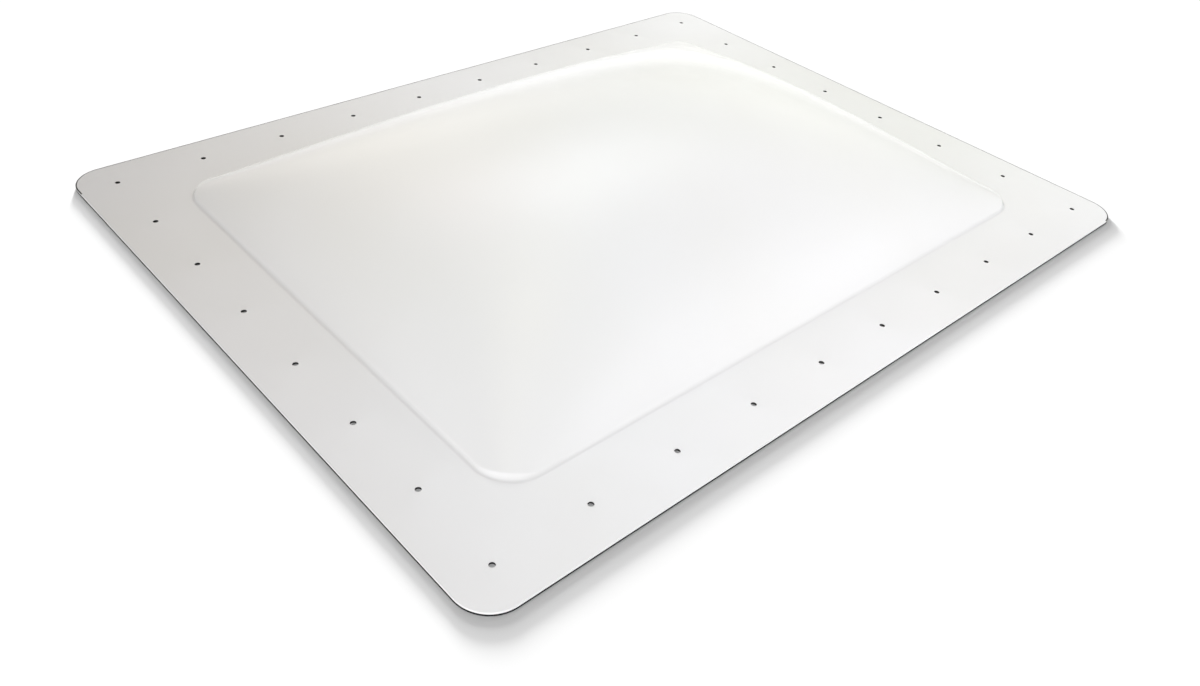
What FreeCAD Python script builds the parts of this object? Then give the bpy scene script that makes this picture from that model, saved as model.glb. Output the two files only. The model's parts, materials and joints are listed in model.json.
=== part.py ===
"""Roof skylight of a caravan: one thermoformed opal sheet on four sealing strips. Sizes in mm.

Frame: +X along the long side, +Y along the short side, +Z up. The origin is the middle of
the skylight, on the plane of the roof that the sealing strips lie on.
"""
import FreeCAD, Part
import math
import os

# Sheet: a flat drilled flange all round, with the dome blown up out of its middle
LENGTH = 914.4
WIDTH = 711.2
SHEET = 2.4
FLANGE_CORNER_R = 31.75
EDGE_ROUND = 0.5

# Screw holes: one row along each side, equally spaced, sharing the corner holes
HOLE_D = 5.2
HOLE_INSET = 38.1
HOLES_LONG = 10
HOLES_SHORT = 8

# Sealing strips: under the flange, flush with its edge, wider than the row of holes, and punched
# wider than the flange is drilled, so that a screw doesn't wind them up
STRIP_T = 1.6
STRIP_LAP = 12.7
STRIP_HOLE_CLEAR = 1.8

# Dome: a low steep shoulder round the foot, then one blown surface. The fullness is 1 for a
# film blown up from a flat frame, and smaller for one with a broader crown and steeper sides.
# The surface step is the spacing in plan of the places that the blown surface is set out through
BARE_FLANGE = 33.2
DOME_RISE = 97.0
DOME_CORNER_R = 38.0
SHOULDER_RISE = 2.0
SHOULDER_SLOPE_DEG = 60.0
FOOT_R = 3.0
CROWN_SKIN = 2.0
CROWN_FULLNESS = 0.67
CROWN_WAVES = 20
SURFACE_STEP = 15.4

# Places that follow from the sizes above
FLANGE_BOTTOM = STRIP_T
FLANGE_TOP = FLANGE_BOTTOM + SHEET
STRIP_WIDTH = HOLE_INSET + STRIP_LAP
DOME_INSET = STRIP_WIDTH + BARE_FLANGE
FOOT_X = LENGTH / 2 - DOME_INSET
FOOT_Y = WIDTH / 2 - DOME_INSET
HOLE_PITCH_X = (LENGTH - 2 * HOLE_INSET) / (HOLES_LONG - 1)
HOLE_PITCH_Y = (WIDTH - 2 * HOLE_INSET) / (HOLES_SHORT - 1)

# Clear distance that cutting and trimming solids run past what they cut, the share by which the
# shoulder's wall is drawn past the crown, the run over which the crown's slope is taken, and the
# most that an edge on a level may stray from it
OVERRUN = 20.0
PAST_CROWN = 1.2
SLOPE_RUN = 1.0
LEVEL_TOL = 0.001


def rounded_rectangle(half_x, half_y, corner_r, z):
    """Closed wire: a rectangle about the Z axis with four quarter-circle corners."""
    edges = []
    for turn in range(4):
        along_x = turn % 2 == 0
        reach = half_x if along_x else half_y
        side = half_y if along_x else half_x
        angle = turn * math.pi / 2
        direction = FreeCAD.Vector(math.cos(angle), math.sin(angle), 0)
        across = FreeCAD.Vector(-math.sin(angle), math.cos(angle), 0)
        level = FreeCAD.Vector(0, 0, z)
        start = direction * reach - across * (side - corner_r) + level
        end = direction * reach + across * (side - corner_r) + level
        edges.append(Part.LineSegment(start, end).toShape())
        centre = direction * (reach - corner_r) + across * (side - corner_r) + level
        middle = centre + (direction + across) * (corner_r / math.sqrt(2))
        next_start = centre + across * corner_r
        edges.append(Part.Arc(end, middle, next_start).toShape())
    return Part.Wire(edges)


def rounded_slab(half_x, half_y, corner_r, low_z, high_z):
    """Solid plate with rounded corners between two heights."""
    face = Part.Face(rounded_rectangle(half_x, half_y, corner_r, low_z))
    return face.extrude(FreeCAD.Vector(0, 0, high_z - low_z))


def blown_height(x, y):
    """Height of a film blown up from a rectangular frame, as a sum of waves, in its own scale."""
    total = 0.0
    for m in range(1, 2 * CROWN_WAVES, 2):
        wave_x = math.sin(m * math.pi * (x / FOOT_X + 1) / 2) / m
        for k in range(1, 2 * CROWN_WAVES, 2):
            wave_y = math.sin(k * math.pi * (y / FOOT_Y + 1) / 2) / k
            stiffness = (m * FOOT_Y / FOOT_X) ** 2 + k ** 2
            total += wave_x * wave_y / stiffness ** CROWN_FULLNESS
    return total


def crown_height(x, y):
    """Height of the dome's top face above the flange's top face."""
    share = blown_height(x, y) / blown_height(0.0, 0.0)
    return SHOULDER_RISE + (DOME_RISE - SHOULDER_RISE) * share


def surface_places(reach):
    """Evenly spaced places from -reach to reach, about one surface step apart, with one at 0."""
    steps = round(reach / SURFACE_STEP)
    return [reach * i / steps for i in range(-steps, steps + 1)]


def space_under_crown(lowered):
    """Solid under the crowned surface, which is lowered by the thickness of the sheet there."""
    points = []
    for x in surface_places(FOOT_X):
        row = []
        for y in surface_places(FOOT_Y):
            row.append(FreeCAD.Vector(x, y, FLANGE_TOP + crown_height(x, y) - lowered))
        points.append(row)
    surface = Part.BSplineSurface()
    surface.interpolate(points)
    return surface.toShape().extrude(FreeCAD.Vector(0, 0, -DOME_RISE - OVERRUN))


def hill(skin, crown_drop, base_z):
    """The dome as a solid standing on base_z, drawn in by a skin measured square to its shoulder."""
    wall_slope = math.tan(math.radians(SHOULDER_SLOPE_DEG))
    drawn_in = skin / math.sin(math.radians(SHOULDER_SLOPE_DEG))
    crown_slope = (crown_height(0.0, FOOT_Y - SLOPE_RUN) - SHOULDER_RISE) / SLOPE_RUN
    meeting = (SHOULDER_RISE - crown_drop + wall_slope * drawn_in) / (wall_slope - crown_slope)
    wall_top = FLANGE_TOP + wall_slope * (meeting - drawn_in) * PAST_CROWN
    rings = []
    for z in (base_z, wall_top):
        inset = (z - FLANGE_TOP) / wall_slope + drawn_in
        rings.append((FOOT_X - inset, FOOT_Y - inset, DOME_CORNER_R - inset, z))
    shoulder = Part.makeLoft([rounded_rectangle(*ring) for ring in rings], True, True)
    top_x, top_y, top_r, top_z = rings[1]
    above = rounded_slab(top_x, top_y, top_r, top_z, FLANGE_TOP + DOME_RISE + OVERRUN)
    return shoulder.fuse(above).removeSplitter().common(space_under_crown(crown_drop))


def foot_edges(solid, z):
    """Edges of the ring where the hill meets the flat at height z."""
    found = []
    for edge in solid.Edges:
        box = edge.BoundBox
        level = abs(box.ZMin - z) < LEVEL_TOL and abs(box.ZMax - z) < LEVEL_TOL
        inside = box.XMax < LENGTH / 2 - STRIP_WIDTH and box.YMax < WIDTH / 2 - STRIP_WIDTH
        inside = inside and box.XMin > STRIP_WIDTH - LENGTH / 2 and box.YMin > STRIP_WIDTH - WIDTH / 2
        if level and inside:
            found.append(edge)
    return found


def hole_centres():
    """Plan positions of all the screw holes, each corner hole once."""
    centres = []
    for i in range(HOLES_LONG):
        x = (i - (HOLES_LONG - 1) / 2) * HOLE_PITCH_X
        for j in range(HOLES_SHORT):
            y = (j - (HOLES_SHORT - 1) / 2) * HOLE_PITCH_Y
            if i in (0, HOLES_LONG - 1) or j in (0, HOLES_SHORT - 1):
                centres.append((x, y))
    return centres


def drill(solid, radius):
    """Cuts every screw hole that passes through the solid's plan."""
    depth = FLANGE_TOP + 2 * OVERRUN
    drills = []
    for x, y in hole_centres():
        drills.append(Part.makeCylinder(radius, depth, FreeCAD.Vector(x, y, -OVERRUN)))
    return solid.cut(Part.makeCompound(drills))


def dome_shell():
    """The sheet: what lies under its top face, less what lies under its bottom face."""
    body = rounded_slab(LENGTH / 2, WIDTH / 2, FLANGE_CORNER_R, FLANGE_BOTTOM, FLANGE_TOP)
    rims = [edge for edge in body.Edges if edge.BoundBox.ZLength < LEVEL_TOL]
    body = body.makeFillet(EDGE_ROUND, rims)
    body = body.fuse(hill(0.0, 0.0, FLANGE_TOP - SHEET / 2))
    body = body.makeFillet(FOOT_R, foot_edges(body, FLANGE_TOP))
    under = Part.makeBox(LENGTH + 2 * OVERRUN, WIDTH + 2 * OVERRUN, OVERRUN)
    under.translate(FreeCAD.Vector(-LENGTH / 2 - OVERRUN, -WIDTH / 2 - OVERRUN, FLANGE_BOTTOM - OVERRUN))
    under = under.fuse(hill(SHEET, CROWN_SKIN, FLANGE_BOTTOM - SHEET / 2))
    under = under.makeFillet(FOOT_R + SHEET, foot_edges(under, FLANGE_BOTTOM))
    return drill(body.cut(under), HOLE_D / 2)


def seal_strip(low_x, high_x, low_y, high_y):
    """One sealing strip: the part of the flange's outline inside a rectangle, punched at each hole."""
    outline = rounded_slab(LENGTH / 2, WIDTH / 2, FLANGE_CORNER_R, 0.0, STRIP_T)
    window = Part.makeBox(high_x - low_x, high_y - low_y, STRIP_T, FreeCAD.Vector(low_x, low_y, 0))
    return drill(outline.common(window), HOLE_D / 2 + STRIP_HOLE_CLEAR)


def seal_strips():
    """Front and rear strips run the full length, and the side strips butt between them."""
    end_x = LENGTH / 2
    end_y = WIDTH / 2
    inner_x = end_x - STRIP_WIDTH
    inner_y = end_y - STRIP_WIDTH
    return {
        "seal_strip_front": seal_strip(-end_x, end_x, -end_y, -inner_y),
        "seal_strip_rear": seal_strip(-end_x, end_x, inner_y, end_y),
        "seal_strip_left": seal_strip(-end_x, -inner_x, -inner_y, inner_y),
        "seal_strip_right": seal_strip(inner_x, end_x, -inner_y, inner_y),
    }


parts = {"dome_shell": dome_shell()}
parts.update(seal_strips())

os.makedirs("parts", exist_ok=True)
for name, shape in parts.items():
    solids = shape.Solids
    print(name, "solids", len(solids), "valid", shape.isValid(), "volume cm3", round(shape.Volume / 1000, 1))
    if len(solids) == 1:
        shape = solids[0]
    shape.exportStep("parts/" + name + ".step")
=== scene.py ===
"""Caravan roof skylight: an opal blown sheet on four dark sealing strips, with its studio.

Metres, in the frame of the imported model: +X along the long side, +Y along the short side, +Z up,
and the roof plane that the strips lie on at z 0.
"""

import json
import math

import bmesh
import bpy
import numpy as np
from mathutils import Matrix, Vector
from mathutils.geometry import delaunay_2d_cdt


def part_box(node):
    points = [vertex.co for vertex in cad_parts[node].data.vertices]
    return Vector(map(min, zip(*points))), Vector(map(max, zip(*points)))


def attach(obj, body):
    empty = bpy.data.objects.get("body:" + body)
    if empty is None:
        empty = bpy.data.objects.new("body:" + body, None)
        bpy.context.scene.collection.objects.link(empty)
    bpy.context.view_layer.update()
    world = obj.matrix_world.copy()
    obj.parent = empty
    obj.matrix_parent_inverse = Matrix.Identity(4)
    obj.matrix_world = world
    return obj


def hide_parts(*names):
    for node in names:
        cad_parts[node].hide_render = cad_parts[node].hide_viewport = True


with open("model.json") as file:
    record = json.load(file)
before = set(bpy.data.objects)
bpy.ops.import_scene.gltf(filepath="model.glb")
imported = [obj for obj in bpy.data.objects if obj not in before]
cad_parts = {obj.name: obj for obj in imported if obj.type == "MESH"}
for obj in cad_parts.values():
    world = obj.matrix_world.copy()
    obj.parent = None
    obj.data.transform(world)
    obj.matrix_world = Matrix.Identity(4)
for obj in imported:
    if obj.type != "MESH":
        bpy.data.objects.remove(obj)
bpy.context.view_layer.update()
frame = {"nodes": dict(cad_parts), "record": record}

# Camera
CAMERA_PLACE = (-0.7146, -0.68725, 0.58495)
CAMERA_AIM = (-0.1869, -0.1739, 0.0)
CAMERA_ROLL_DEG = 6.03
CAMERA_LENS_MM = 31.17
CAMERA_CLIP_START = 0.01

# Sheet: the overall sizes come from the frame
SHELL_LOW, SHELL_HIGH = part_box("dome_shell")
HALF_X = SHELL_HIGH[0]
HALF_Y = SHELL_HIGH[1]
SHEET = 0.0024
SHEET_BOTTOM = SHELL_LOW[2]
SHEET_TOP = SHEET_BOTTOM + SHEET
FLANGE_CORNER_R = 0.03175
EDGE_ROUND = 0.0005
STRIP_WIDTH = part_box("seal_strip_front")[1][1] + HALF_Y
MM_PER_M = 1000

# Dome: a steep low shoulder round the foot, rounded over by the blend's height where it meets one
# blown surface, which is summed from this many waves each way
BARE_FLANGE = 0.0332
FOOT_X = HALF_X - STRIP_WIDTH - BARE_FLANGE
FOOT_Y = HALF_Y - STRIP_WIDTH - BARE_FLANGE
DOME_RISE = SHELL_HIGH[2] - SHEET_TOP
DOME_CORNER_R = 0.038
SHOULDER_RISE = 0.002
SHOULDER_SLOPE = math.radians(60)
SHOULDER_BLEND = 0.001
FOOT_R = 0.003
FOOT_REACH = FOOT_R * math.tan(SHOULDER_SLOPE / 2)
CROWN_SKIN = 0.002
CROWN_FULLNESS = 0.67
CROWN_WAVES = 90

# Mesh: the cells along each side, round each corner, round the foot's fillet, round each corner of
# the cut edge and round each hole, the distance from a curve to the ring that keeps the flat beside
# it flat, the slack in joining points on one level, and the angle past which an edge is sharp
SIDE_CELLS_X = 100
SIDE_CELLS_Y = 70
CORNER_CELLS = 16
FILLET_CELLS = 6
EDGE_CELLS = 4
HOLE_CELLS = 32
SUPPORT = 0.0008
JOIN_SLACK = 1e-9
SMOOTH_ANGLE = math.radians(35)

# Rings of the dome's mesh: up its shoulder at these distances inside the top of the fillet, then at
# the last inset from the foot line, and then evenly on, turning into the edge of a plain grid
SHOULDER_RINGS = [0.0003 * i for i in range(1, 11)] + [0.0038, 0.0048, 0.006, 0.0076, 0.0096, 0.012]
LAST_SHOULDER_RING = 0.016
BLEND_RINGS = 12
GRID_INSET = 0.064
GRID_X = FOOT_X - GRID_INSET
GRID_Y = FOOT_Y - GRID_INSET
GRID_CELLS_X = SIDE_CELLS_X + CORNER_CELLS
GRID_CELLS_Y = SIDE_CELLS_Y + CORNER_CELLS

# Drill marks, as distances out from the bore's wall and up from the sheet's face: a low burr stands
# round each hole on the top face, and the lower rim is broken
HOLE_APRON = 0.0014
UPPER_RIM = [
    (HOLE_APRON, 0.0),
    (0.0010, 0.00002),
    (0.0007, 0.00007),
    (0.0004, 0.00014),
    (0.0002, 0.00016),
    (0.00005, 0.0001),
    (0.0, -0.00025),
]
LOWER_RIM = [
    (0.0, 0.00025),
    (0.000075, 0.000075),
    (0.00025, 0.0),
    (HOLE_APRON, 0.0),
]

# Marks of the skin's faces, which are their places in the sheet's list of materials
OPAL = 0
PAINTED_SHADE = 1

# Bands of the rim, from its top face outward, painted near black on the right and the rear: a painted
# shade line
PAINTED_SHADE_BANDS = 5

# A noise is given as its scale, detail and roughness, and it seldom passes these two values
NOISE_LOW = 0.3
NOISE_HIGH = 0.7

# Opal plastic. The flange is painted darker than the dome, a painted shade, and the dome's full colour is
# reached between two heights above the flange; the cut edge is painted brighter, a painted glow, up to a
# little under the top face
OPAL_CLOUDS = (5.0, 2.0, 0.45)
OPAL_COLOURS = [(0.885, 0.885, 0.868), (0.905, 0.908, 0.905)]
OPAL_HAZE = (38.0, 3.0, 0.6)
OPAL_ROUGHNESS = (0.16, 0.24)
OPAL_WAVES = (9.0, 1.0, 0.4)
OPAL_WAVE_HEIGHT = 0.00025
OPAL_GRAIN = (420.0, 2.0, 0.5)
OPAL_GRAIN_HEIGHT = 0.000006
OPAL_IOR = 1.49
FLANGE_PAINTED_SHADE_SHARE = 0.9
PAINTED_SHADE_RISES = (0.0002, 0.0035)
EDGE_PAINTED_GLOW_SHARE = 1.05
EDGE_PAINTED_GLOW_DROPS = (0.0004, 0.0001)

# Painted shade: near black and streaked, on the bores' walls and along the rim's top on the right and the
# rear
PAINTED_SHADE_STREAKS = (900.0, 3.0, 0.6)
PAINTED_SHADE_COLOURS = [(0.012, 0.012, 0.012), (0.05, 0.048, 0.045)]
PAINTED_SHADE_ROUGHNESS = (0.55, 0.8)
PAINTED_SHADE_HEIGHT = 0.00008

# Sealing foam, near black, so that its edge under the sheet's also gives a painted shadow line
FOAM_BLOOM = (60.0, 4.0, 0.6)
FOAM_AND_SHADOW_LINE_COLOURS = [(0.01, 0.01, 0.011), (0.026, 0.026, 0.028)]
FOAM_ROUGHNESS = (0.72, 0.9)
FOAM_SPECULAR = 0.25
FOAM_CELL_SCALE = 1400.0
FOAM_CELL_HEIGHT = 0.00012

# Floor
FLOOR_SIZE = 24.0
FLOOR_FLECKS = (14.0, 2.0, 0.5)
FLOOR_COLOURS = [(0.522, 0.535, 0.535), (0.528, 0.542, 0.542)]

# Glows of the room, each with its compass angle and height angle, its sharpness and its colour
GLOWS = [
    (27, 14, 20, (0.88, 0.89, 0.83)),
    (69, 14, 20, (1.27, 1.23, 1.16)),
    (180, 20, 6, (1.95, 1.92, 1.97)),
    (20, 45, 40, (1.01, 0.96, 1.01)),
    (45, 45, 40, (2.78, 2.89, 2.99)),
    (70, 45, 40, (1.22, 1.00, 1.08)),
    (60, 70, 60, (1.14, 1.03, 0.70)),
]

# Small soft lamps over and beside the skylight, each with its place, the plan point that it is
# aimed at and its colour
LAMP_SIZE = 0.25
LAMP_POWER = math.pi * LAMP_SIZE**2
LAMPS = [
    ((-0.3, -0.15, 0.35), (-0.3, -0.15), (0.75, 0.84, 0.87)),
    ((-0.3, 0.15, 0.35), (-0.3, 0.15), (0.64, 0.57, 0.35)),
    ((0.0, -0.45, 0.35), (0.0, -0.45), (2.21, 2.21, 2.39)),
    ((0.0, 0.15, 0.35), (0.0, 0.15), (1.05, 1.13, 1.10)),
    ((0.0, 0.45, 0.35), (0.0, 0.45), (1.45, 1.40, 1.49)),
    ((0.3, -0.15, 0.35), (0.3, -0.15), (1.03, 1.03, 0.90)),
    ((0.3, 0.15, 0.35), (0.3, 0.15), (1.97, 2.02, 1.91)),
    ((0.6, -0.45, 0.35), (0.6, -0.45), (3.60, 3.61, 3.95)),
    ((0.6, -0.15, 0.35), (0.6, -0.15), (0.96, 1.08, 0.83)),
    ((0.6, 0.45, 0.35), (0.6, 0.45), (4.70, 4.72, 4.77)),
    ((-0.85, -0.45, 0.25), (-0.255, -0.135), (2.32, 2.35, 2.41)),
    ((-0.45, -0.8, 0.25), (-0.135, -0.24), (4.67, 4.61, 4.69)),
    ((-1.0, -0.85, 0.12), (-0.3, -0.2), (7.0, 7.0, 7.0)),
    ((0.2, -1.0, 0.12), (0.0, -0.25), (12.48, 12.44, 12.49)),
    ((1.1, -0.65, 0.12), (0.3, -0.2), (4.0, 4.0, 4.0)),
]

# Light on the floor alone, whose shadows are cast by the strips, as the opal sheet lets it by: two
# from low behind and one from above, each with its compass angle and height angle, its spread in
# degrees and its level
FLOOR_LIGHT_COLOUR = (1.0, 0.975, 0.975)
FLOOR_LIGHTS = [
    ("floor_light_low", 59, 3.2, 3.3, 38.4),
    ("floor_light_middle", 59, 8, 8.0, 8.28),
    ("floor_light_high", 0, 90, 10.0, 1.375),
]


def place_camera():
    """The camera at the photograph's place, turned by its roll about its own axis."""
    data = bpy.data.cameras.new("camera")
    data.lens = CAMERA_LENS_MM
    data.sensor_fit = "HORIZONTAL"
    data.clip_start = CAMERA_CLIP_START
    camera = bpy.data.objects.new("camera", data)
    bpy.context.scene.collection.objects.link(camera)
    place = Vector(CAMERA_PLACE)
    ahead = (Vector(CAMERA_AIM) - place).normalized()
    level = ahead.cross(Vector((0, 0, 1))).normalized()
    rise = level.cross(ahead)
    roll = math.radians(CAMERA_ROLL_DEG)
    right = level * math.cos(roll) + rise * math.sin(roll)
    up = right.cross(ahead)
    turn = Matrix((right, up, -ahead)).transposed().to_4x4()
    camera.matrix_world = Matrix.Translation(place) @ turn
    bpy.context.scene.camera = camera


class Skin:
    """Points and faces of one mesh, made ring by ring."""

    def __init__(self):
        self.points = []
        self.faces = []
        self.marks = []
        self.count = 0

    def add(self, plan, height):
        """Adds plan points at one height, or one height each, and returns their numbers."""
        plan = np.asarray(plan, float)
        heights = np.broadcast_to(np.asarray(height, float), (len(plan),))
        self.points.append(np.column_stack([plan, heights]))
        first = self.count
        self.count += len(plan)
        return np.arange(first, self.count)

    def bridge(self, ring, inner, mark=OPAL):
        """Quads between two closed rings of as many points, with one mark for all or one each."""
        pairs = zip(ring, np.roll(ring, -1), np.roll(inner, -1), inner)
        for quad in pairs:
            self.faces.append([int(n) for n in quad])
        self.marks += np.broadcast_to(mark, len(ring)).tolist()

    def add_inside(self, ring, plan, height):
        """Adds a ring of points, joins it to the ring outside it and returns its numbers."""
        inner = self.add(plan, height)
        self.bridge(ring, inner)
        return inner

    def fill(self, loops, inside):
        """Triangles between closed loops on one level, kept where inside says so of their middle."""
        numbers = np.concatenate(loops)
        plan = np.concatenate(self.points)[numbers][:, :2]
        edges = []
        first = 0
        for loop in loops:
            count = len(loop)
            edges += [(first + i, first + (i + 1) % count) for i in range(count)]
            first += count
        flat = delaunay_2d_cdt([Vector(p) for p in plan], edges, [], 0, JOIN_SLACK)
        places, triangles, origins = flat[0], flat[2], flat[3]
        for triangle in triangles:
            middle = sum((places[n] for n in triangle), Vector((0, 0))) / len(triangle)
            if inside(middle.x, middle.y):
                self.faces.append([int(numbers[origins[n][0]]) for n in triangle])
                self.marks.append(OPAL)

    def make(self, name, materials):
        """The finished object, with its normals outward and its sharp edges kept."""
        mesh = bpy.data.meshes.new(name)
        mesh.from_pydata(np.concatenate(self.points).tolist(), [], self.faces)
        for material in materials:
            mesh.materials.append(material)
        mesh.polygons.foreach_set("material_index", self.marks)
        work = bmesh.new()
        work.from_mesh(mesh)
        bmesh.ops.recalc_face_normals(work, faces=work.faces)
        work.to_mesh(mesh)
        work.free()
        mesh.shade_smooth()
        mesh.set_sharp_from_angle(angle=SMOOTH_ANGLE)
        piece = bpy.data.objects.new(name, mesh)
        bpy.context.scene.collection.objects.link(piece)
        return piece


def rounded_loop(half_x, half_y, corner_r):
    """Plan points of a rounded rectangle, from the right side's lower end, anticlockwise."""
    points = []
    for turn in range(4):
        along_x = turn % 2 == 0
        reach = half_x if along_x else half_y
        side = half_y if along_x else half_x
        cells = SIDE_CELLS_Y if along_x else SIDE_CELLS_X
        angle = turn * math.pi / 2
        out = np.array([math.cos(angle), math.sin(angle)])
        along = np.array([-math.sin(angle), math.cos(angle)])
        for i in range(cells):
            points.append(out * reach + along * (side - corner_r) * (2 * i / cells - 1))
        for i in range(CORNER_CELLS):
            bend = math.pi / 2 * i / CORNER_CELLS
            arm = out * math.cos(bend) + along * math.sin(bend)
            points.append(out * (reach - corner_r) + along * (side - corner_r) + arm * corner_r)
    return np.array(points)


def flange_loop(inset):
    """Plan points of the sheet's outline, drawn in by an inset."""
    return rounded_loop(HALF_X - inset, HALF_Y - inset, FLANGE_CORNER_R - inset)


def foot_loop(inset):
    """Plan points of the dome's foot line, drawn in by an inset."""
    return rounded_loop(FOOT_X - inset, FOOT_Y - inset, DOME_CORNER_R - inset)


def grid_loop():
    """Plan points of the plain grid's edge, as many as in a rounded loop and matching them in turn."""
    right = [(GRID_X, GRID_Y * (2 * i / GRID_CELLS_Y - 1)) for i in range(GRID_CELLS_Y)]
    rear = [(GRID_X * (1 - 2 * i / GRID_CELLS_X), GRID_Y) for i in range(GRID_CELLS_X)]
    loop = np.array(right + rear + [(-x, -y) for x, y in right + rear])
    return np.roll(loop, -(CORNER_CELLS // 2), axis=0)


def blown_height(x, y):
    """Height of a film blown up from a rectangular frame, as a sum of waves, in its own scale."""
    odd = np.arange(1, 2 * CROWN_WAVES, 2)
    wave_x = np.sin(np.outer(x / FOOT_X + 1, odd) * math.pi / 2) / odd
    wave_y = np.sin(np.outer(y / FOOT_Y + 1, odd) * math.pi / 2) / odd
    stiffness = np.add.outer((odd * FOOT_Y / FOOT_X) ** 2, odd**2)
    return np.sum((wave_x @ stiffness**-CROWN_FULLNESS) * wave_y, axis=1)


BLOWN_MIDDLE = blown_height(np.zeros(1), np.zeros(1))[0]


def crown_height(plan):
    """Height of the dome's top face above the flange's top face."""
    share = blown_height(plan[:, 0], plan[:, 1]) / BLOWN_MIDDLE
    return SHOULDER_RISE + (DOME_RISE - SHOULDER_RISE) * share


def soft_min(a, b, blend):
    """The smaller of two heights, rounded over where they cross."""
    mix = np.clip(0.5 + 0.5 * (b - a) / blend, 0, 1)
    return b * (1 - mix) + a * mix - blend * mix * (1 - mix)


def dome_rings(skin, drop, wall_start, base, fillet_r):
    """One face of the dome from its foot inward: returns its outermost ring, on the flat."""
    slope = math.tan(SHOULDER_SLOPE)
    fillet_start = wall_start + base / slope - fillet_r * math.tan(SHOULDER_SLOPE / 2)
    outer = skin.add(foot_loop(fillet_start - SUPPORT), SHEET_TOP + base)
    ring = outer
    for i in range(FILLET_CELLS + 1):
        bend = SHOULDER_SLOPE * i / FILLET_CELLS
        inset = fillet_start + fillet_r * math.sin(bend)
        height = base + fillet_r * (1 - math.cos(bend))
        ring = skin.add_inside(ring, foot_loop(inset), SHEET_TOP + height)
    insets = [inset + step for step in SHOULDER_RINGS] + [LAST_SHOULDER_RING]
    for inset in insets:
        plan = foot_loop(inset)
        wall = slope * (inset - wall_start)
        height = soft_min(wall, crown_height(plan) - drop, SHOULDER_BLEND)
        ring = skin.add_inside(ring, plan, SHEET_TOP + height)
    start = foot_loop(LAST_SHOULDER_RING)
    end = grid_loop()
    for i in range(1, BLEND_RINGS + 1):
        plan = start + (end - start) * i / BLEND_RINGS
        ring = skin.add_inside(ring, plan, SHEET_TOP + crown_height(plan) - drop)
    fill_grid(skin, np.roll(ring, CORNER_CELLS // 2), drop)
    return outer


def fill_grid(skin, edge, drop):
    """The plain grid over the middle of the dome, sewn to the ring of points round its edge."""
    right_end = GRID_CELLS_Y
    rear_end = right_end + GRID_CELLS_X
    left_end = rear_end + GRID_CELLS_Y
    numbers = np.zeros((GRID_CELLS_X + 1, GRID_CELLS_Y + 1), int)
    numbers[-1, :-1] = edge[:right_end]
    numbers[1:, -1] = edge[right_end:rear_end][::-1]
    numbers[0, 1:] = edge[rear_end:left_end][::-1]
    numbers[:-1, 0] = edge[left_end:]
    x = GRID_X * (2 * np.arange(1, GRID_CELLS_X) / GRID_CELLS_X - 1)
    y = GRID_Y * (2 * np.arange(1, GRID_CELLS_Y) / GRID_CELLS_Y - 1)
    plan = np.stack(np.meshgrid(x, y, indexing="ij"), axis=-1).reshape(-1, 2)
    inner = skin.add(plan, SHEET_TOP + crown_height(plan) - drop)
    numbers[1:-1, 1:-1] = inner.reshape(GRID_CELLS_X - 1, GRID_CELLS_Y - 1)
    for i in range(GRID_CELLS_X):
        for j in range(GRID_CELLS_Y):
            corners = (numbers[i, j], numbers[i + 1, j], numbers[i + 1, j + 1], numbers[i, j + 1])
            skin.faces.append([int(n) for n in corners])
            skin.marks.append(OPAL)


def rim_rings(skin):
    """Rings down the rounded outer edge, with a painted shade line on its top on the right and the rear:
    returns the top one and the bottom one.
    """
    bends = [math.pi / 2 * i / EDGE_CELLS for i in range(EDGE_CELLS + 1)]
    upper = [(EDGE_ROUND * (1 - math.sin(b)), SHEET_TOP - EDGE_ROUND * (1 - math.cos(b))) for b in bends]
    lower = [(inset, SHEET_BOTTOM + SHEET_TOP - z) for inset, z in reversed(upper)]
    flat = EDGE_ROUND + SUPPORT
    profile = [(flat, SHEET_TOP)] + upper + lower + [(flat, SHEET_BOTTOM)]
    rings = [skin.add(flange_loop(inset), z) for inset, z in profile]
    x, y = flange_loop(0.0).T
    far_side = (x > HALF_X - FLANGE_CORNER_R) | (y > HALF_Y - FLANGE_CORNER_R)
    # The top bands of the rim on the right and the rear are painted near black: a painted shade line along
    # those edges.
    shade_marks = np.where(far_side, PAINTED_SHADE, OPAL)
    for i in range(len(rings) - 1):
        skin.bridge(rings[i], rings[i + 1], shade_marks if i < PAINTED_SHADE_BANDS else OPAL)
    return rings[0], rings[-1]


def screw_holes():
    """Plan places of the screw holes, from the record's bolt patterns, and their radius."""
    centres = []
    for mount in frame["record"]["mounts"]:
        if mount["kind"] != "bolt_pattern":
            continue
        sizes = mount["dims"]
        radius = sizes["hole_r_mm"] / MM_PER_M
        for side_x in (-0.5, 0.5):
            for side_y in (-0.5, 0.5):
                x = mount["pos_m"][0] + side_x * sizes["spacing_x_mm"] / MM_PER_M
                y = mount["pos_m"][1] + side_y * sizes["spacing_y_mm"] / MM_PER_M
                centres.append((x, y))
    return np.array(centres), radius


def hole_rings(skin, centre, radius):
    """One bore with painted shade on its wall: returns its outermost rings, the one on the top face first.
    """
    angles = 2 * math.pi * np.arange(HOLE_CELLS) / HOLE_CELLS
    circle = np.column_stack([np.cos(angles), np.sin(angles)])
    upper = [skin.add(centre + circle * (radius + out), SHEET_TOP + up) for out, up in UPPER_RIM]
    lower = [skin.add(centre + circle * (radius + out), SHEET_BOTTOM + up) for out, up in LOWER_RIM]
    rings = upper + lower
    for i in range(len(rings) - 1):
        # The bore's wall is painted near black: painted shade inside the hole.
        is_wall = i == len(upper) - 1
        skin.bridge(rings[i], rings[i + 1], PAINTED_SHADE if is_wall else OPAL)
    return rings[0], rings[-1]


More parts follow.
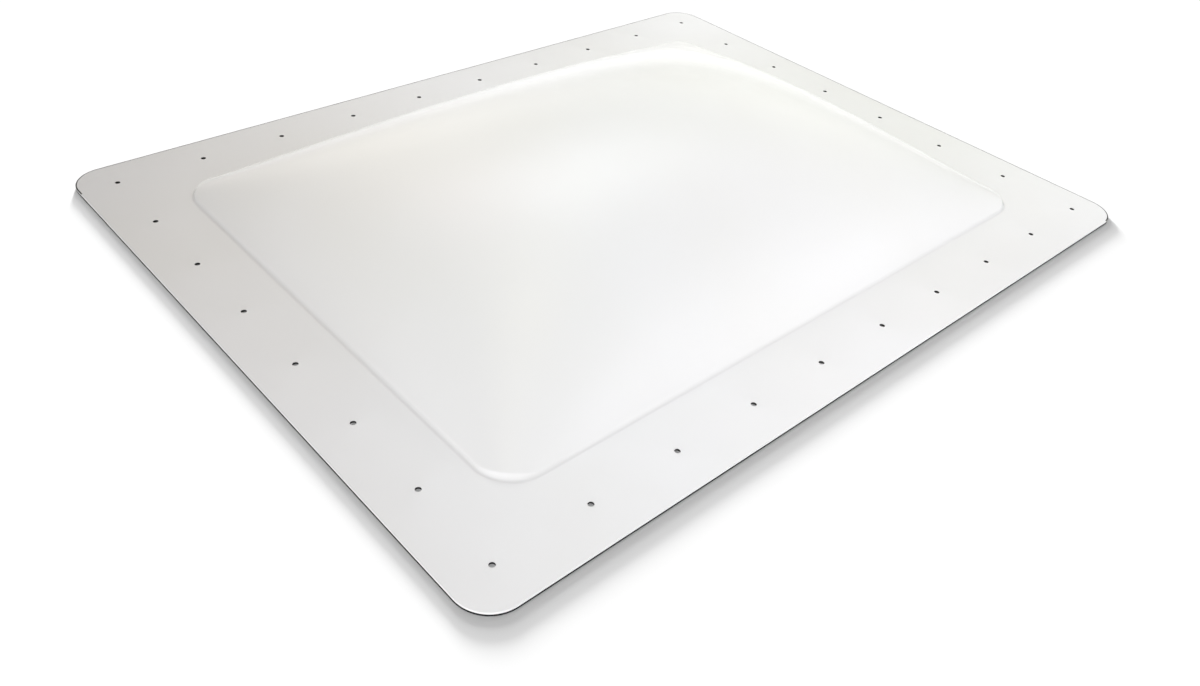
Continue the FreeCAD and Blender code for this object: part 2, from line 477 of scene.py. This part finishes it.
def sheet_skin():
    """The whole opal sheet: drilled flange, shoulder and dome, as one closed skin."""
    skin = Skin()
    rim_top, rim_bottom = rim_rings(skin)
    centres, radius = screw_holes()
    holes = [hole_rings(skin, centre, radius) for centre in centres]
    foot_top = dome_rings(skin, 0.0, 0.0, 0.0, FOOT_R)
    inner_wall = SHEET / math.sin(SHOULDER_SLOPE)
    foot_bottom = dome_rings(skin, CROWN_SKIN, inner_wall, -SHEET, FOOT_R + SHEET)

    def on_flange(x, y):
        over_x = max(abs(x) - (FOOT_X - DOME_CORNER_R), 0)
        over_y = max(abs(y) - (FOOT_Y - DOME_CORNER_R), 0)
        in_foot = math.hypot(over_x, over_y) < DOME_CORNER_R + FOOT_REACH + SUPPORT
        away = np.hypot(centres[:, 0] - x, centres[:, 1] - y)
        return not in_foot and bool(np.all(away > radius + HOLE_APRON))

    skin.fill([rim_top, foot_top] + [top for top, bottom in holes], on_flange)
    skin.fill([rim_bottom, foot_bottom] + [bottom for top, bottom in holes], on_flange)
    return skin


def new_material(name):
    """A material with one surface shader, and the place on the object that its patterns go by."""
    material = bpy.data.materials.new(name)
    material.use_nodes = True
    tree = material.node_tree
    tree.nodes.clear()
    output = tree.nodes.new("ShaderNodeOutputMaterial")
    shader = tree.nodes.new("ShaderNodeBsdfPrincipled")
    tree.links.new(shader.outputs["BSDF"], output.inputs["Surface"])
    place = tree.nodes.new("ShaderNodeTexCoord").outputs["Object"]
    return material, tree, shader, place


def noise(tree, place, kind):
    """A noise over the object's own metres, of a kind given as scale, detail and roughness."""
    node = tree.nodes.new("ShaderNodeTexNoise")
    for name, value in zip(("Scale", "Detail", "Roughness"), kind):
        node.inputs[name].default_value = value
    tree.links.new(place, node.inputs["Vector"])
    return node.outputs["Fac"]


def ramp(tree, value, places, levels):
    """Maps a value between two places to a range of levels, and holds its ends."""
    node = tree.nodes.new("ShaderNodeMapRange")
    for name, number in zip(("From Min", "From Max", "To Min", "To Max"), (*places, *levels)):
        node.inputs[name].default_value = number
    tree.links.new(value, node.inputs["Value"])
    return node.outputs["Result"]


def spread(tree, value, levels):
    """Maps a noise value, which stays near its middle, to a range of levels."""
    return ramp(tree, value, (NOISE_LOW, NOISE_HIGH), levels)


def tint(tree, value, colours):
    """A colour between two, by a noise value."""
    node = tree.nodes.new("ShaderNodeValToRGB")
    for stop, position, colour in zip(node.color_ramp.elements, (NOISE_LOW, NOISE_HIGH), colours):
        stop.position = position
        stop.color = (*colour, 1)
    tree.links.new(value, node.inputs["Fac"])
    return node.outputs["Color"]


def bump(tree, height, distance, before=None):
    """A bump of a real height in metres, on top of another if one is given."""
    node = tree.nodes.new("ShaderNodeBump")
    node.inputs["Distance"].default_value = distance
    tree.links.new(height, node.inputs["Height"])
    if before is not None:
        tree.links.new(before, node.inputs["Normal"])
    return node.outputs["Normal"]


def math_node(tree, operation, *values):
    """A maths node fed with sockets and numbers."""
    node = tree.nodes.new("ShaderNodeMath")
    node.operation = operation
    for socket, value in zip(node.inputs, values):
        if isinstance(value, (int, float)):
            socket.default_value = value
        else:
            tree.links.new(value, socket)
    return node.outputs["Value"]


def painted_light_share(tree, place):
    """Painted shade and glow as a share of the colour: least on the flange over the dark strips, full on
    the dome, most at the cut edge.
    """
    parts = tree.nodes.new("ShaderNodeSeparateXYZ")
    tree.links.new(place, parts.inputs["Vector"])
    height = parts.outputs["Z"]
    dome = ramp(tree, height, [SHEET_TOP + rise for rise in PAINTED_SHADE_RISES], (FLANGE_PAINTED_SHADE_SHARE, 1.0))
    edge = ramp(tree, height, [SHEET_TOP - drop for drop in EDGE_PAINTED_GLOW_DROPS], (EDGE_PAINTED_GLOW_SHARE, 0.0))
    return math_node(tree, "MAXIMUM", dome, edge)


def opal_sheet_material():
    """Glossy opal plastic: slow tint clouds, faint flow waves and the grain of a blown sheet."""
    material, tree, shader, place = new_material("opal_sheet")
    colour = tint(tree, noise(tree, place, OPAL_CLOUDS), OPAL_COLOURS)
    # The colour is scaled down on the flange, a painted shade, and up at the cut edge, a painted glow.
    painted_colour = tree.nodes.new("ShaderNodeVectorMath")
    painted_colour.operation = "SCALE"
    tree.links.new(colour, painted_colour.inputs[0])
    tree.links.new(painted_light_share(tree, place), painted_colour.inputs["Scale"])
    tree.links.new(painted_colour.outputs["Vector"], shader.inputs["Base Color"])
    haze = noise(tree, place, OPAL_HAZE)
    tree.links.new(spread(tree, haze, OPAL_ROUGHNESS), shader.inputs["Roughness"])
    waves = bump(tree, noise(tree, place, OPAL_WAVES), OPAL_WAVE_HEIGHT)
    grain = bump(tree, noise(tree, place, OPAL_GRAIN), OPAL_GRAIN_HEIGHT, waves)
    tree.links.new(grain, shader.inputs["Normal"])
    shader.inputs["IOR"].default_value = OPAL_IOR
    return material


def painted_shade_material():
    """Painted shade, near black and streaked, for the walls of drilled holes and a line of the rim."""
    material, tree, shader, place = new_material("painted_shade")
    streaks = noise(tree, place, PAINTED_SHADE_STREAKS)
    tree.links.new(tint(tree, streaks, PAINTED_SHADE_COLOURS), shader.inputs["Base Color"])
    tree.links.new(spread(tree, streaks, PAINTED_SHADE_ROUGHNESS), shader.inputs["Roughness"])
    tree.links.new(bump(tree, streaks, PAINTED_SHADE_HEIGHT), shader.inputs["Normal"])
    return material


def foam_and_shadow_line_material():
    """Closed-cell sealing foam: near black, matt, with fine cells and a dusty bloom; its edge also gives a
    painted shadow line under the sheet.
    """
    material, tree, shader, place = new_material("seal_foam")
    bloom = noise(tree, place, FOAM_BLOOM)
    # Near-black colour: the strips' edge, flush with the sheet's, is also a painted shadow line under the
    # flange.
    tree.links.new(tint(tree, bloom, FOAM_AND_SHADOW_LINE_COLOURS), shader.inputs["Base Color"])
    tree.links.new(spread(tree, bloom, FOAM_ROUGHNESS), shader.inputs["Roughness"])
    shader.inputs["Specular IOR Level"].default_value = FOAM_SPECULAR
    cells = tree.nodes.new("ShaderNodeTexVoronoi")
    cells.inputs["Scale"].default_value = FOAM_CELL_SCALE
    tree.links.new(place, cells.inputs["Vector"])
    pits = bump(tree, cells.outputs["Distance"], FOAM_CELL_HEIGHT)
    tree.links.new(pits, shader.inputs["Normal"])
    return material


def floor_material():
    """Matt pale grey studio floor, faintly flecked."""
    material, tree, shader, place = new_material("floor")
    flecks = noise(tree, place, FLOOR_FLECKS)
    tree.links.new(tint(tree, flecks, FLOOR_COLOURS), shader.inputs["Base Color"])
    shader.inputs["Roughness"].default_value = 1.0
    shader.inputs["Specular IOR Level"].default_value = 0.0
    return material


def add_floor():
    """A plain floor at the roof plane."""
    mesh = bpy.data.meshes.new("floor")
    half = FLOOR_SIZE / 2
    corners = [(-half, -half, 0), (half, -half, 0), (half, half, 0), (-half, half, 0)]
    mesh.from_pydata(corners, [], [(0, 1, 2, 3)])
    mesh.materials.append(floor_material())
    floor = bpy.data.objects.new("floor", mesh)
    bpy.context.scene.collection.objects.link(floor)
    return floor


def direction(compass, height):
    """The way to a place in the room, from its compass angle and its height angle."""
    compass, height = math.radians(compass), math.radians(height)
    flat = math.cos(height)
    return Vector((flat * math.cos(compass), flat * math.sin(compass), math.sin(height)))


def glow_colour(tree, way, compass, height, sharpness, colour, before):
    """Adds one round glow, which falls off evenly away from its middle, to the colour so far."""
    towards = tree.nodes.new("ShaderNodeVectorMath")
    towards.operation = "DOT_PRODUCT"
    towards.inputs[1].default_value = direction(compass, height)
    tree.links.new(way, towards.inputs[0])
    fall = math_node(tree, "MULTIPLY_ADD", towards.outputs["Value"], sharpness, -sharpness)
    level = math_node(tree, "EXPONENT", fall)
    total = tree.nodes.new("ShaderNodeVectorMath")
    total.operation = "MULTIPLY_ADD"
    total.inputs[1].default_value = colour
    tree.links.new(level, total.inputs[0])
    if before is not None:
        tree.links.new(before, total.inputs[2])
    return total.outputs["Vector"]


def add_room():
    """A dim room with glows that the sheet mirrors, which the camera sees as plain white."""
    world = bpy.data.worlds.new("studio")
    bpy.context.scene.world = world
    world.use_nodes = True
    tree = world.node_tree
    tree.nodes.clear()
    output = tree.nodes.new("ShaderNodeOutputWorld")
    way = tree.nodes.new("ShaderNodeTexCoord").outputs["Generated"]
    colour = None
    for glow in GLOWS:
        colour = glow_colour(tree, way, *glow, colour)
    room = tree.nodes.new("ShaderNodeBackground")
    tree.links.new(colour, room.inputs["Color"])
    white = tree.nodes.new("ShaderNodeBackground")
    white.inputs["Color"].default_value = (1, 1, 1, 1)
    paths = tree.nodes.new("ShaderNodeLightPath")
    seen = math_node(tree, "MAXIMUM", paths.outputs["Is Camera Ray"], paths.outputs["Is Transmission Ray"])
    mix = tree.nodes.new("ShaderNodeMixShader")
    tree.links.new(seen, mix.inputs["Fac"])
    tree.links.new(room.outputs["Background"], mix.inputs[1])
    tree.links.new(white.outputs["Background"], mix.inputs[2])
    tree.links.new(mix.outputs["Shader"], output.inputs["Surface"])


def group(name, members):
    """A collection that a lamp's light or shadow is kept to."""
    collection = bpy.data.collections.new(name)
    for member in members:
        collection.objects.link(member)
    return collection


def new_lamp(name, kind, power, colour, lit):
    """A lamp of a kind, whose light is kept to a group."""
    data = bpy.data.lights.new(name, kind)
    data.energy = power
    data.color = colour
    lamp = bpy.data.objects.new(name, data)
    bpy.context.scene.collection.objects.link(lamp)
    lamp.light_linking.receiver_collection = lit
    return lamp


def add_lamp(name, place, aim, colour, lit):
    """A soft square lamp, which nothing mirrors."""
    lamp = new_lamp(name, "AREA", LAMP_POWER, colour, lit)
    lamp.data.size = LAMP_SIZE
    lamp.location = place
    lamp.rotation_euler = (Vector((*aim, 0)) - Vector(place)).to_track_quat("-Z", "Y").to_euler()
    lamp.visible_camera = False
    lamp.visible_glossy = False


def add_floor_light(name, compass, height, spread_deg, level, lit, blocks):
    """A far lamp, whose shadows are kept to a group too."""
    lamp = new_lamp(name, "SUN", level, FLOOR_LIGHT_COLOUR, lit)
    lamp.data.angle = math.radians(spread_deg)
    lamp.rotation_euler = direction(compass, height).to_track_quat("Z", "Y").to_euler()
    lamp.light_linking.blocker_collection = blocks


def add_lamps(floor, sheet, strips):
    """The soft lamps on the skylight, and the far ones on the floor."""
    lit = group("lamp_lit", [sheet] + strips)
    for number, lamp in enumerate(LAMPS, 1):
        add_lamp("lamp_%d" % number, *lamp, lit)
    floor_lit = group("floor_lit", [floor])
    floor_blocks = group("floor_blocks", strips)
    for lamp in FLOOR_LIGHTS:
        add_floor_light(*lamp, floor_lit, floor_blocks)


place_camera()
sheet = sheet_skin().make("opal_sheet_moulding", [opal_sheet_material(), painted_shade_material()])
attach(sheet, "root")
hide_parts("dome_shell")

foam_and_shadow_line = foam_and_shadow_line_material()
strips = [frame["nodes"]["seal_strip_" + side] for side in ("front", "rear", "left", "right")]
for strip in strips:
    strip.data.materials.clear()
    strip.data.materials.append(foam_and_shadow_line)

floor = add_floor()
add_room()
add_lamps(floor, sheet, strips)
bpy.context.scene.view_settings.view_transform = "Standard"
